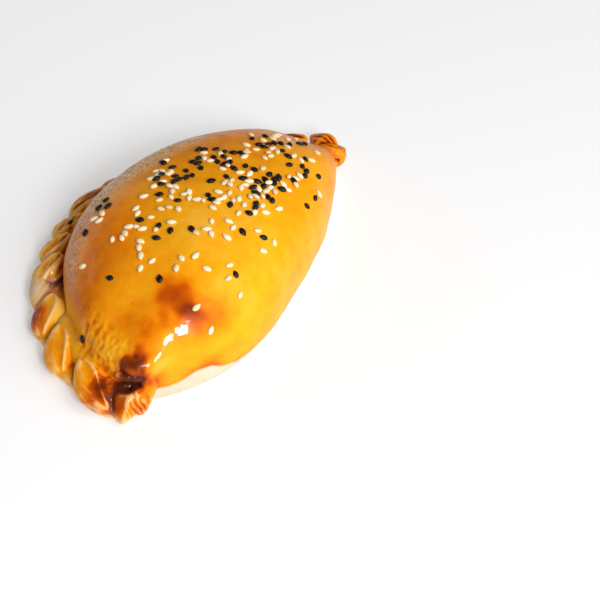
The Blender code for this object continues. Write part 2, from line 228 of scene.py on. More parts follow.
# Pleats of the gathered dough: their size along the seam and across it, their depth at the near
# end and elsewhere, and how far the waves bend them. Then its webs: coarse and fine, and how deep.
PLEAT_SIZE = (0.0021, 0.0045)
PLEAT_DEPTH = (0.00042, 0.00003)
PLEAT_BEND = 2400
WEB_SIZE = (0.0026, 0.0015)
WEB_DEPTH = 0.00042

# Strands drawn out along the folds: their heading against the seam, their size across, along and
# upward, and their depth on the lower folds, with what is added past them.
STRAND_HEADING = (0.925, 0.38)
STRAND_SIZE = (0.0020, 0.0085, 0.0040)
STRAND_DEPTH = (0.00006, 0.00026)

# The torn dough of the near tail: its ridges, how it is browned and how its ridges are paler.
TEAR = {
    "at": (-0.0738, -0.0090, 0.0040),
    "reach": 0.0042,
    "heading": (0.36, -0.93, 0.5),
    "turns": 5200,
    "depth": 0.00015,
    "bake": 0.32,
    "stripes": -0.15,
}

# The height of a full crest and a full ridge, and the size of face that the crest's is for.
CREST_HEIGHT = 0.00010
RIDGE_HEIGHT = 0.0011
REFERENCE_GRAIN = 0.00066

# How high the egg wash starts on the folded side and elsewhere, and a fold that it missed.
EDGE_HEIGHT = (0.0066, 0.0018)
SPARED_FOLD = {"at": (-0.0468, 0.0506, 0.0050), "reach": 0.0058}

# Where the far stretch of the rope starts, and how much thinner the glaze is past the lower folds.
FAR_ROPE = (0.150, 0.178)
THIN_GLAZE = 0.18

# How browned the plain glaze is, and how much more each part of the crust is, or paler where negative.
# Besides browning, some entries are painted light: the groove entry is painted shade; the crease and
# fold-foot entries are painted shade, with glaze pooled there as well; the fold-top entry is a painted
# highlight and the upper-crest one a painted highlight with painted shade in the creases; the seam-flank
# entries are browning with painted shade; the fold-flank entry is a thinner wash with painted light; far_half
# makes the far half darker.
BAKE_AND_PAINTED_LIGHT = {
    "plain": 0.28,
    "fold_flank_light_and_thin_wash": -0.02,
    "groove": 0.40,
    "crease_shade_and_pooling": 0.10,
    "seam_flank_bake_and_shade": 0.10,
    "near_seam_flank_bake_and_shade": 0.16,
    "far_half": 0.06,
    "far_tip": 0.22,
    "gather": -0.12,
    "leather": -0.06,
    "glaze_edge": 0.10,
    "rope": 0.08,
    "fold_foot_shade_and_pooling": -0.42,
    "upper_foot_shade_and_pooling": -0.16,
    "fold_top_highlight": -0.14,
    "upper_rope": 0.05,
    "upper_crest_highlight_and_shade": -0.30,
    "turn": 0.28,
    "near_rope": 0.04,
    "far_rope": 0.42,
}

# Patches that the oven made browner or left paler, with how far each spreads and how strong it is. The mouth
# under the near flap and the tail's left face hold painted shade as well, and the pale patches at (-0.051,
# 0.036), (-0.057, 0.034) and (-0.018, 0.004) are painted light.
Patch = collections.namedtuple("Patch", "at reach bake")
BROWNED_AND_PAINTED_PATCHES = (
    Patch((-0.0485, -0.0064, 0.0312), 0.0078, 0.46),
    Patch((-0.0504, -0.0152, 0.0265), 0.0062, 0.26),
    Patch((-0.0433, -0.0191, 0.0262), 0.0060, 0.24),
    Patch((-0.0593, 0.0027, 0.0252), 0.0060, 0.22),
    Patch((-0.0610, -0.0052, 0.0240), 0.0056, 0.22),
    Patch((-0.0667, -0.0038, 0.0170), 0.0046, 0.66),
    Patch((-0.0690, -0.0036, 0.0126), 0.0050, 0.50),
    # Painted shade in the mouth under the near flap, over browning there.
    Patch((-0.0706, -0.0026, 0.0096), 0.0044, 0.74),
    Patch((-0.0668, -0.0072, 0.0090), 0.0056, 0.30),
    Patch((-0.0732, 0.0050, 0.0080), 0.0056, 0.26),
    # Painted shade on the tail's left face.
    Patch((-0.0758, -0.0010, 0.0056), 0.0034, 0.22),
    Patch((-0.0796, 0.0056, 0.0030), 0.0076, 0.30),
    Patch((-0.0784, -0.0036, 0.0040), 0.0034, 0.28),
    Patch((-0.0506, -0.0222, 0.0100), 0.0048, 0.24),
    Patch((-0.0560, -0.0174, 0.0096), 0.0040, 0.12),
    Patch((-0.0551, 0.0432, 0.0060), 0.0046, 0.46),
    Patch((-0.0602, 0.0404, 0.0050), 0.0044, 0.40),
    Patch((-0.0468, 0.0506, 0.0050), 0.0064, -0.20),
    # Painted light: the next two patches make the slope between a fold and the dough paler.
    Patch((-0.0510, 0.0361, 0.0066), 0.0060, -0.30),
    Patch((-0.0570, 0.0340, 0.0066), 0.0060, -0.20),
    Patch((-0.0380, 0.0020, 0.0330), 0.0120, 0.05),
    # Painted light: a paler patch on the top of the dough.
    Patch((-0.0180, 0.0040, 0.0360), 0.0180, -0.06),
)

# The sesame: where each handful fell, how far it spread and its seeds of each colour, and then
# the seeds that lie alone.
Handful = collections.namedtuple("Handful", "at spread white black")
SPRINKLES = (
    Handful((-0.022, 0.016), (0.0090, 0.0070), 22, 4),
    Handful((-0.008, 0.012), (0.0080, 0.0090), 16, 8),
    Handful((-0.014, -0.001), (0.0080, 0.0040), 8, 2),
    Handful((-0.002, 0.026), (0.0035, 0.0050), 6, 5),
    Handful((-0.006, -0.009), (0.0070, 0.0040), 8, 4),
    Handful((0.008, 0.005), (0.0080, 0.0070), 16, 12),
    Handful((0.012, -0.005), (0.0040, 0.0030), 4, 11),
    Handful((0.016, 0.017), (0.0040, 0.0030), 6, 9),
    Handful((0.030, 0.006), (0.0090, 0.0060), 14, 11),
    Handful((0.042, 0.006), (0.0070, 0.0060), 6, 5),
    Handful((0.028, -0.009), (0.0100, 0.0050), 8, 8),
    Handful((-0.028, 0.039), (0.0100, 0.0040), 3, 3),
)
LONE_WHITE = (
    (-0.048, -0.020),
    (-0.047, -0.014),
    (-0.034, -0.010),
    (-0.032, -0.017),
    (-0.028, -0.015),
    (-0.033, -0.022),
    (-0.044, 0.009),
    (-0.040, 0.007),
    (-0.037, 0.014),
    (-0.035, -0.001),
    (-0.033, 0.022),
    (-0.029, 0.035),
    (-0.007, -0.020),
)
LONE_BLACK = (
    (-0.064, 0.019),
    (-0.050, 0.017),
    (-0.045, 0.001),
    (-0.031, 0.011),
    (-0.029, -0.018),
    (-0.022, 0.036),
    (-0.0155, 0.0570),
)
Seed = collections.namedtuple("Seed", "x y kind size heading")
SEED_SIZE_RANGE = (0.88, 1.12)
SEED_SPACING = 0.0018
SEED_TRIES = 60

# How close two seeds are when one lies on the other, how high a seed rests, in half thicknesses,
# and how far it leans, alone and more for each one under it, and how its tip and tail narrow.
SEED_OVERLAP = 0.0023
SEED_REST = (0.36, 0.55)
SEED_LEAN = (0.35, 0.5)
SEED_TIP = {"narrow": 0.52, "power": 1.3, "tail": 0.10, "flat": 0.30}


class CrustSizes(bpy.types.PropertyGroup):
    """Sizes of the dough and of its roped edge."""

    length: bpy.props.FloatProperty(
        name="Length", description="Dough from tip to tip",
        default=0.140, min=0.08, max=0.25, unit="LENGTH",
    )
    seam_sag: bpy.props.FloatProperty(
        name="Seam bulge", description="How far the roped side bows out",
        default=0.052, min=0.02, unit="LENGTH",
    )
    fold_sag: bpy.props.FloatProperty(
        name="Fold bulge", description="How far the folded side bows out",
        default=0.027, min=0.01, unit="LENGTH",
    )
    crown_height: bpy.props.FloatProperty(
        name="Height", description="Top of the dough above the table",
        default=0.0373, min=0.015, unit="LENGTH",
    )
    dough_grain: bpy.props.FloatProperty(
        name="Dough grain", description="Size of the faces of the filled dough",
        default=0.00058, min=0.0003, unit="LENGTH",
    )
    rope_grain: bpy.props.FloatProperty(
        name="Rope grain", description="Size of the faces of the rope",
        default=0.00040, min=0.0003, unit="LENGTH",
    )


class CrustColours(bpy.types.PropertyGroup):
    """Colours of the crust, from the bare dough to the burnt tips."""

    bare: bpy.props.FloatVectorProperty(
        name="Bare dough", description="Unglazed dough at the base",
        subtype="COLOR", default=(0.76, 0.65, 0.56),
    )
    pale: bpy.props.FloatVectorProperty(
        name="Pale", description="Lightly baked egg wash",
        subtype="COLOR", default=(0.93, 0.55, 0.08),
    )
    golden: bpy.props.FloatVectorProperty(
        name="Golden", description="Egg wash over most of the top",
        subtype="COLOR", default=(0.90, 0.39, 0.008),
    )
    orange: bpy.props.FloatVectorProperty(
        name="Orange", description="Well baked egg wash",
        subtype="COLOR", default=(0.80, 0.22, 0.002),
    )
    rust: bpy.props.FloatVectorProperty(
        name="Rust", description="Browned blisters",
        subtype="COLOR", default=(0.55, 0.085, 0.001),
    )
    brown: bpy.props.FloatVectorProperty(
        name="Brown", description="Browned folds",
        subtype="COLOR", default=(0.26, 0.036, 0.002),
    )
    burnt: bpy.props.FloatVectorProperty(
        name="Burnt", description="Burnt edges at the tips",
        subtype="COLOR", default=(0.09, 0.015, 0.005),
    )
    # Painted highlight: the colour that the crests of the rope's folds are mixed towards.
    crest: bpy.props.FloatVectorProperty(
        name="Crest", description="Edges of the folds",
        subtype="COLOR", default=(0.96, 0.55, 0.21),
    )
    # Painted sheen: the colour that the wrinkled skin towards the rope is mixed towards, most along its
    # thread-like wrinkles.
    painted_sheen: bpy.props.FloatVectorProperty(
        name="Painted sheen", description="Wrinkled skin towards the rope",
        subtype="COLOR", default=(0.82, 0.54, 0.24),
    )


class SesameSizes(bpy.types.PropertyGroup):
    """Size and colours of the sesame."""

    white_size: bpy.props.FloatVectorProperty(
        name="White seed", description="Length, width and thickness",
        default=(0.0034, 0.0021, 0.0013), unit="LENGTH",
    )
    black_size: bpy.props.FloatVectorProperty(
        name="Black seed", description="Length, width and thickness",
        default=(0.0033, 0.0023, 0.0014), unit="LENGTH",
    )
    white: bpy.props.FloatVectorProperty(
        name="White", description="Hulled seed",
        subtype="COLOR", default=(0.94, 0.78, 0.50),
    )
    toasted: bpy.props.FloatVectorProperty(
        name="Toasted", description="Toasted rim of a hulled seed",
        subtype="COLOR", default=(0.62, 0.32, 0.09),
    )
    black: bpy.props.FloatVectorProperty(
        name="Black", description="Black seed",
        subtype="COLOR", default=(0.005, 0.004, 0.004),
    )


class StageLook(bpy.types.PropertyGroup):
    """The floor, the lights and the camera."""

    floor: bpy.props.FloatVectorProperty(
        name="Floor", description="Colour of the floor",
        subtype="COLOR", default=(0.70, 0.70, 0.70),
    )
    lens: bpy.props.FloatProperty(
        name="Lens", description="Focal length in millimetres",
        default=101.7, min=10,
    )


def taper(t, power, fullness):
    """1 in the middle of the turnover and 0 at its tips."""
    return np.maximum(0.0, 1.0 - np.abs(t) ** power) ** fullness


def wavy(points, size, seed=0.0):
    """Smooth noise between about -1 and 1 at each point, with waves of that size."""
    shift = Vector((seed, seed * 1.7, seed * 0.3))
    return np.array([noise.noise(Vector(point) / size + shift) for point in points])


def bell(value, reach):
    """1 at 0, falling to nothing a little past the reach."""
    return np.exp(-((value / reach) ** 2))


def step(low, high, value):
    """0 below low, 1 above high and smooth between."""
    share = np.clip((value - low) / (high - low), 0.0, 1.0)
    return share * share * (3 - 2 * share)


class Turnover:
    """The shapes of the turnover, worked out from its sizes on arrays of points."""

    def __init__(self, sizes):
        self.half_length = sizes.length / 2
        self.seam_sag = sizes.seam_sag
        self.fold_sag = sizes.fold_sag
        self.crown_height = sizes.crown_height
        t = -np.cos(np.linspace(0, math.pi, RIM_STEPS + 1))
        self.rim = np.column_stack((self.half_length * t, self.seam_y(t), np.zeros_like(t)))
        steps = np.linalg.norm(np.diff(self.rim, axis=0), axis=1)
        self.run = np.concatenate(([0.0], np.cumsum(steps)))
        self.rim_length = self.run[-1]

    def seam_y(self, t):
        """How far out the seam lies, where t is -1 at the near tip and 1 at the far one."""
        return self.seam_sag * taper(t, *SEAM_TAPER) * (1 + SEAM_SKEW * t)

    def fold_y(self, t):
        """Where the folded side lies, across from the seam."""
        return -self.fold_sag * taper(t, *FOLD_TAPER) * (1 + FOLD_SKEW * t)

    def crown_z(self, t):
        """How high the top of the dough is."""
        rise = (self.crown_height - TIP_HEIGHT) * taper(t, *CROWN_TAPER)
        return TIP_HEIGHT + rise * (1 + CROWN_SKEW * t)

    def dough_points(self, unit):
        """Where points of the unit sphere, with its poles on X, lie on the filled dough."""
        t = np.clip(unit[:, 0], -1.0, 1.0)
        ring = np.maximum(1e-6, np.hypot(unit[:, 1], unit[:, 2]))
        across, upward = unit[:, 1] / ring, unit[:, 2] / ring
        seam, fold, crown = self.seam_y(t), self.fold_y(t), self.crown_z(t)
        widest = np.minimum(WIDEST_HEIGHT, WIDEST_SHARE * crown)
        raised = np.maximum(0.0, upward)
        x = self.half_length * t
        y = (seam + fold) / 2 + (seam - fold) / 2 * np.copysign(np.abs(across) ** SIDE_POWER, across)
        y -= CROWN_LEAN * taper(t, 2.0, 0.5) * raised**2
        above = widest + (crown - widest) * raised**CROWN_POWER + hump_height(x, y) * raised
        below = np.maximum(0.0, widest * (1 - BASE_FLATNESS * np.abs(upward) ** BASE_POWER))
        points = np.column_stack((x, y, np.where(upward >= 0, above, below)))
        wave = wavy(points, DOUGH_WAVE_SIZE)[:, None] * DOUGH_WAVINESS
        return points + wave * unit * np.where(unit[:, 2:3] < 0, (1, 1, 0), (1, 1, 1))

    def rim_at(self, distance):
        """The points at distances along the seam, and the directions outward there."""
        held = np.clip(distance, 0.0, self.rim_length)
        points = np.column_stack([np.interp(held, self.run, self.rim[:, axis]) for axis in range(3)])
        low = np.clip(np.searchsorted(self.run, held, side="right") - 1, 0, len(self.run) - 2)
        after = np.minimum(len(self.run) - 1, low + 1 + TANGENT_STEPS)
        along = self.rim[after] - self.rim[np.maximum(0, low - TANGENT_STEPS)]
        along /= np.linalg.norm(along, axis=1)[:, None]
        outward = np.column_stack((-along[:, 1], along[:, 0], along[:, 2]))
        return points + along * (distance - held)[:, None], outward

    def border_points(self, unit):
        """The sealed border under the folds, from the unit sphere."""
        ring = np.maximum(1e-6, np.hypot(unit[:, 1], unit[:, 2]))
        end = np.minimum(1.0, ring * 5)
        distance = self.rim_length * np.arccos(np.clip(-unit[:, 0], -1.0, 1.0)) / math.pi
        points, outward = self.rim_at(distance)
        ripple = 1 + BORDER_RIPPLE[0] * np.sin(distance / BORDER_RIPPLE[1]) * (unit[:, 1] > 0)
        across, upward = unit[:, 1] / ring, unit[:, 2] / ring
        sideways = BORDER_RADIUS[0] * ripple * np.copysign(np.abs(across) ** BORDER_POWER[0], across) * end
        points = points + outward * (BORDER_MIDDLE + sideways)[:, None]
        standing_up = np.copysign(np.abs(upward) ** BORDER_POWER[1], upward) * end
        points[:, 2] = BORDER_GAP + BORDER_RADIUS[1] * (1 + standing_up)
        return points

    def gather_points(self, unit):
        """The gathered dough at the near end, from the unit sphere."""
        start, end = GATHERS["run"]
        distance = start + (end - start) * (1 - unit[:, 0]) / 2
        points, outward = self.rim_at(distance)
        ring = np.maximum(1e-6, np.hypot(unit[:, 1], unit[:, 2]))
        full = (np.minimum(1.0, ring * 1.3) / ring)[:, None] * unit[:, 1:]
        points = points + outward * (GATHERS["middle"] + GATHERS["radius"][0] * full[:, 0])[:, None]
        points[:, 2] = GATHERS["height"] + GATHERS["radius"][1] * full[:, 1]
        return points

    def fold_points(self, unit, inner_end, length, width, lift):
        """One fold of the rope, from the unit sphere: a pillow between its ridge and its outer edge."""
        share = (1 - unit[:, 0]) / 2
        ring = np.sqrt(np.maximum(1e-6, 1 - unit[:, 0] ** 2))
        across = np.clip(unit[:, 1] / ring, -1, 1)
        under = np.clip(-unit[:, 2] / ring, 0, 1)
        ridge, edge = curve_at(FOLD_RIDGE, share), curve_at(FOLD_EDGE, share)
        full = np.minimum(1.0, ring * 1.5) ** 0.7
        middle = (ridge + edge) / 2
        ridge = middle + (ridge - middle) * full[:, None]
        edge = middle + (edge - middle) * full[:, None]
        inward = (ridge - edge) * (1, 1, 0)
        inward /= np.maximum(1e-5, np.linalg.norm(inward, axis=1))[:, None]
        foot = ridge + inward * FOLD_FLANK[0] * full[:, None]
        foot[:, 2] -= FOLD_FLANK[1] * full
        outer = np.maximum(0.0, across)[:, None]
        inner = np.maximum(0.0, -across)[:, None]
        places = ridge + (edge - ridge) * outer + (foot - ridge) * inner
        face = np.array(FOLD_FACE)
        swell = np.where(across >= 0, np.interp(across, face[:, 0], face[:, 1]), 0.30 * (1 + across))
        height = places[:, 2] + (FOLD_BULGE * swell - FOLD_THICKNESS * under) * full
        points, outward = self.rim_at(inner_end + places[:, 0] * length)
        wider = np.where(places[:, 1] > FOLD_MIDDLE, width, min(width, FOLD_INNER_WIDTH))
        points = points + outward * (FOLD_MIDDLE + (places[:, 1] - FOLD_MIDDLE) * wider)[:, None]
        points[:, 2] = np.maximum(TABLE_GAP, height * lift)
        return points

    def rim_place(self, points):
        """How far along the seam each point lies, and how far outside it, both in plan."""
        along, out = np.empty(len(points)), np.empty(len(points))
        table = np.linspace(0, self.rim_length, SEAM_PLACES)
        seam, outward = self.rim_at(table)
        for first in range(0, len(points), AT_ONCE):
            part = points[first : first + AT_ONCE, :2]
            gap = part[:, None, :] - seam[None, :, :2]
            near = np.argmin((gap**2).sum(2), axis=1)
            rows = np.arange(len(part))
            along[first : first + AT_ONCE] = table[near]
            out[first : first + AT_ONCE] = (gap[rows, near] * outward[near, :2]).sum(1)
        return along, out


def hump_height(x, y):
    """How far the humps lift each point of the top."""
    total = np.zeros_like(x)
    for hump in HUMPS:
        turn = math.radians(hump.turn)
        dx, dy = x - hump.at[0], y - hump.at[1]
        u = (dx * math.cos(turn) + dy * math.sin(turn)) / hump.reach[0]
        v = (dy * math.cos(turn) - dx * math.sin(turn)) / hump.reach[1]
        total += hump.rise * np.exp(-u * u - v * v)
    return total


def curve_at(knots, share):
    """Points of a smooth curve through knots that are evenly spaced from share 0 to share 1."""
    knots = np.array(knots)
    place = np.clip(share, 0.0, 1.0) * (len(knots) - 1)
    low = np.minimum(place.astype(int), len(knots) - 2)
    f = (place - low)[:, None]
    before, after = knots[np.maximum(0, low - 1)], knots[np.minimum(len(knots) - 1, low + 2)]
    a, b = knots[low], knots[low + 1]
    bend = (2 * before - 5 * a + 4 * b - after) * f**2 + (3 * a - before - 3 * b + after) * f**3
    return a + ((b - before) * f + bend) / 2


def lump_points(unit, lump):
    """A lump of dough, from the unit sphere."""
    section = (np.abs(unit[:, 1]) ** lump.power + np.abs(unit[:, 2]) ** lump.power) ** (1 / lump.power)
    ring = np.hypot(unit[:, 1], unit[:, 2])
    shrink = np.where(section > 1e-9, ring / np.maximum(section, 1e-9), 1.0)
    narrow = (1 - lump.point * np.maximum(0.0, unit[:, 0])) * shrink
    points = unit * lump.size
    points[:, 1] *= narrow
    points[:, 2] *= narrow
    points[:, 1] += lump.lean * points[:, 2]
    turned = (
        Matrix.Translation(lump.at)
        @ Matrix.Rotation(math.radians(lump.turn), 4, "Z")
        @ Matrix.Rotation(math.radians(lump.dip), 4, "Y")
    )
    matrix = np.array(turned)
    points = points @ matrix[:3, :3].T + matrix[:3, 3]
    points[:, 2] = np.maximum(TABLE_GAP, points[:, 2])
    return points


def add_ball(joined, segments, rings, place):
    """Adds to joined a sphere with its poles on X, whose points place moves."""
    ball = bmesh.new()
    lying = Matrix.Rotation(math.radians(90), 4, "Y")
    bmesh.ops.create_uvsphere(ball, u_segments=segments, v_segments=rings, radius=1, matrix=lying)
    mesh = mesh_of(ball, "ball")
    set_coordinates(mesh, place(coordinates(mesh)))
    joined.from_mesh(mesh)
    bpy.data.meshes.remove(mesh)


def coordinates(mesh):
    values = np.empty(len(mesh.vertices) * 3, np.float32)
    mesh.vertices.foreach_get("co", values)
    return values.reshape(-1, 3).astype(np.float64)


def set_coordinates(mesh, points):
    mesh.vertices.foreach_set("co", points.astype(np.float32).ravel())
    mesh.update()


def normals(mesh):
    values = np.empty(len(mesh.vertices) * 3, np.float32)
    mesh.vertex_normals.foreach_get("vector", values)
    return values.reshape(-1, 3).astype(np.float64)


def neighbour_mean(mesh):
    """A function that gives each point's mean over its neighbours."""
    edges = np.empty(len(mesh.edges) * 2, np.int32)
    mesh.edges.foreach_get("vertices", edges)
    a, b = edges.reshape(-1, 2).T
    count = len(mesh.vertices)
    degree = np.maximum(1, np.bincount(a, minlength=count) + np.bincount(b, minlength=count))

    def mean(values):
        columns = []
        for column in values.reshape(count, -1).T:
            total = np.bincount(a, weights=column[b], minlength=count)
            total += np.bincount(b, weights=column[a], minlength=count)
            columns.append(total / degree)
        return np.column_stack(columns).reshape(values.shape)

    return mean


def smoothed(values, mean, times):
    for _ in range(times):
        values = 0.5 * values + 0.5 * mean(values)
    return values


def store(mesh, name, values):
    """Keeps a number for each point under that name, for the material to read."""
    attribute = mesh.attributes.new(name, "FLOAT", "POINT")
    attribute.data.foreach_set("value", values.astype(np.float32))


def link(name, mesh):
    made = bpy.data.objects.new(name, mesh)
    bpy.context.scene.collection.objects.link(made)
    return made


def mesh_of(joined, name):
    mesh = bpy.data.meshes.new(name)
    joined.to_mesh(mesh)
    joined.free()
    return mesh


def rough_dough(shape):
    """The filled dough, its gathered near end and the lumps on it, one inside another."""
    joined = bmesh.new()
    add_ball(joined, 220, 150, shape.dough_points)
    add_ball(joined, 48, 60, shape.gather_points)
    for lump in DOUGH_LUMPS:
        add_ball(joined, 32, 24, lambda unit: lump_points(unit, lump))
    return mesh_of(joined, "dough_parts")


def rough_rope(shape):
    """The border, its folds and its pinched ends, one inside another."""
    joined = bmesh.new()
    add_ball(joined, 32, 200, shape.border_points)
    for share, length, width, lift in FOLDS:
        inner_end = share * shape.rim_length
        add_ball(joined, 96, 60, lambda unit: shape.fold_points(unit, inner_end, length, width, lift))
    for lump in END_LUMPS:
        add_ball(joined, 48, 32, lambda unit: lump_points(unit, lump))
    return mesh_of(joined, "rope_parts")


def remeshed(mesh, grain):
    """One closed skin over everything in mesh, with faces of that size."""
    parts = link("crust_parts", mesh)
    skin = parts.modifiers.new("skin", "REMESH")
    skin.mode = "VOXEL"
    skin.voxel_size = grain
    graph = bpy.context.evaluated_depsgraph_get()
    made = bpy.data.meshes.new_from_object(parts.evaluated_get(graph))
    bpy.data.objects.remove(parts)
    bpy.data.meshes.remove(mesh)
    return made


def waved(points, wave):
    """That wave's height at each point."""
    return wave.depth * wavy(points, wave.size, wave.seed)


def creased(points, size, seed):
    """Sharp ridges with hollows of that size between them, from about -1 to 1."""
    return 1 - 2 * np.abs(wavy(points, size, seed))


def spotted(points, spot):
    """1 in the middle of a spot, falling to nothing a little past its reach."""
    return bell(np.linalg.norm(points - spot["at"], axis=1), spot["reach"])


def leathery(points, along, out):
    """Where the glaze on the side towards the rope is a wrinkled skin, which also carries a painted sheen."""
    least, most = LEATHER["reach"]
    reach = np.clip(least + LEATHER["widening"] * (along - LEATHER["widens_from"]), least, most)
    inner, outer = LEATHER["edge"]
    run = step(*LEATHER["starts"], along) * step(*LEATHER["ends"], along)
    return step(inner - reach, outer - reach, out) * step(*LEATHER["height"], points[:, 2]) * run


def glossy(points):
    """Where the glaze is thick: along the shoulder of the near end."""
    nearest = np.full(len(points), 1.0)
    for start, end in zip(SHOULDER, SHOULDER[1:]):
        start, way = np.array(start), np.subtract(end, start)
        share = np.clip((points - start) @ way / (way @ way), 0, 1)
        nearest = np.minimum(nearest, np.linalg.norm(points - start - share[:, None] * way, axis=1))
    return bell(nearest, SHOULDER_REACH)


def softened(points, mean, along, out):
    """The dough's points, smoother where it is gathered and down the shoulder."""
    gathered = bell(along - 0.020, 0.020) * bell(out - 0.001, 0.006) * step(0.0006, 0.003, points[:, 2])
    soften = np.maximum(gathered, 0.9 * spotted(points, SOFT_SHOULDER))
    return points + soften[:, None] * (smoothed(points, mean, 40) - points)


def relief(points, along, out, seam_side):
    """How far the wrinkles lift each point of the crust."""
    undulation = waved(points, SWELL) + waved(points, RIPPLE)
    bent = PLEAT_BEND * undulation
    radial = np.column_stack((along / PLEAT_SIZE[0] + bent, out / PLEAT_SIZE[1] + bent, bent))
    gathers = bell(along - 0.011, 0.014)
    band = bell(out + 0.001, 0.0048) * seam_side * step(0.004, 0.009, points[:, 2])
    webs = creased(points * (1.0, 1.0, 0.7), WEB_SIZE[0], 12.0) - np.abs(wavy(points, WEB_SIZE[1], 13.0))
    lift = undulation + creased(radial, 1.0, 2.0) * band * (PLEAT_DEPTH[0] * gathers + PLEAT_DEPTH[1])
    lift += webs * (leathery(points, along, out) * LEATHER["depth"] + band * gathers * WEB_DEPTH)
    lift += waved(points * (1.0, 1.0, 1.6), FINE_GRAIN)
    return lift + glossy(points) * waved(points, BROKEN_GLAZE)


def strands(points, along, out):
    """How far the drawn strands lift the rope, deeper past the lower folds."""
    ahead, aside = STRAND_HEADING
    across, down = aside * along + ahead * out, ahead * along - aside * out
    drawn = np.column_stack((across, down, points[:, 2])) / STRAND_SIZE
    return creased(drawn, 1.0, 15.0) * (STRAND_DEPTH[0] + STRAND_DEPTH[1] * step(0.046, 0.062, along))


def torn_end(points):
    """Where the near tail is torn, and its ridges there, from -1 to 1."""
    ridges = np.sin(points @ TEAR["heading"] * TEAR["turns"] + 3.0 * wavy(points, 0.003, 14.0))
    return spotted(points, TEAR), ridges


def pressed(points):
    """How far the hollows sink each point."""
    sunk = np.zeros(len(points))
    for hollow in HOLLOWS:
        u = (points - hollow.at) / hollow.reach
        sunk += hollow.depth * np.exp(-(u**2).sum(1))
    return sunk


def standing(mesh, points, mean, grain):
    """How far each point stands over what is close to it, and over the form around, from -1 to 1."""
    normal = normals(mesh)
    finer = REFERENCE_GRAIN / grain
    small = ((points - smoothed(points, mean, 8)) * normal).sum(1)
    large = ((points - smoothed(points, mean, int(90 * finer**2))) * normal).sum(1)
    crest = smoothed(np.clip(small * finer / CREST_HEIGHT, -1, 1), mean, 2)
    ridge = smoothed(np.clip(large / RIDGE_HEIGHT, -1, 1), mean, 3)
    return crest, ridge


def browned_and_painted_light(points, along, out, crest, tips):
    """How dark the glaze is on the dough and the rope alike, from 0, pale, to 1, burnt: oven browning, with
    painted shade in the groove, the creases and some patches, and painted light in a few pale patches.
    """
    x, y, z = points.T
    bake = BAKE_AND_PAINTED_LIGHT["plain"] + waved(points, BAKE_CLOUD) + waved(points, BAKE_SPOT)
    # Paler on the folded side: partly a thinner wash, partly painted light.
    bake += BAKE_AND_PAINTED_LIGHT["fold_flank_light_and_thin_wash"] * step(-0.004, -0.024, y) * step(-0.050, -0.020, x)
    # Painted shade in the groove between the dough and the rope.
    groove = bell(out + 0.0006, 0.0026) * step(0.017, 0.010, z) * (1 - tips)
    bake += BAKE_AND_PAINTED_LIGHT["groove"] * step(0.046, 0.058, along) * groove
    for patch in BROWNED_AND_PAINTED_PATCHES:
        away = np.linalg.norm(points - patch.at, axis=1) / patch.reach
        away = np.maximum(0.0, away + waved(points, PATCH_EDGE))
        bake += patch.bake * np.exp(-(away**2.6) * 1.1)
    # Painted shade in the small creases, with glaze pooled there as well.
    return bake + BAKE_AND_PAINTED_LIGHT["crease_shade_and_pooling"] * np.maximum(0.0, -crest)


def dough_browned_and_shaded(points, along, out, crest, edge):
    """How much darker the dough is than the crust as a whole: darker towards the far end, browner along the
    glaze's edge, browner with painted shade on the side towards the seam, paler on the gathers' ridges and
    darker in their creases, and paler under the wrinkled skin.
    """
    x, y, z = points.T
    # Darker on the side towards the seam: partly browning, partly painted shade.
    seam_flank_bake_and_shade = BAKE_AND_PAINTED_LIGHT["seam_flank_bake_and_shade"] + BAKE_AND_PAINTED_LIGHT["near_seam_flank_bake_and_shade"] * step(-0.012, -0.040, x)
    bake = seam_flank_bake_and_shade * step(0.000, 0.030, y) * step(0.012, 0.020, z)
    bake += BAKE_AND_PAINTED_LIGHT["far_half"] * step(-0.010, 0.045, x) + BAKE_AND_PAINTED_LIGHT["far_tip"] * step(0.050, 0.066, x)
    bake += BAKE_AND_PAINTED_LIGHT["gather"] * crest * bell(along - 0.014, 0.016) * bell(out + 0.001, 0.0055)
    bake += BAKE_AND_PAINTED_LIGHT["leather"] * leathery(points, along, out)
    return bake + BAKE_AND_PAINTED_LIGHT["glaze_edge"] * bell(z - edge - 0.0006, 0.0010)


def rope_browned_lit_and_shaded(along, crest, ridge):
    """How much darker the rope is than the crust as a whole: browner along it, at its turn, near its near end
    and on its far stretch, with painted shade at the feet of the folds, painted highlights on their tops, and
    on the upper folds painted highlights on the crests and painted shade in the creases.
    """
    upper = step(0.040, 0.060, along)
    foot, top = np.minimum(0.0, ridge), np.maximum(0.0, ridge)
    # Painted shade at the feet of the folds, with pooled glaze, and painted highlights on their tops and on
    # the upper crests.
    bake = BAKE_AND_PAINTED_LIGHT["rope"] + (BAKE_AND_PAINTED_LIGHT["fold_foot_shade_and_pooling"] + BAKE_AND_PAINTED_LIGHT["upper_foot_shade_and_pooling"] * upper) * foot + BAKE_AND_PAINTED_LIGHT["fold_top_highlight"] * top
    bake += upper * (BAKE_AND_PAINTED_LIGHT["upper_rope"] + BAKE_AND_PAINTED_LIGHT["upper_crest_highlight_and_shade"] * crest)
    bake += BAKE_AND_PAINTED_LIGHT["turn"] * bell(along - 0.102, 0.014) + BAKE_AND_PAINTED_LIGHT["near_rope"] * step(0.050, 0.030, along)
    return bake + BAKE_AND_PAINTED_LIGHT["far_rope"] * step(*FAR_ROPE, along)


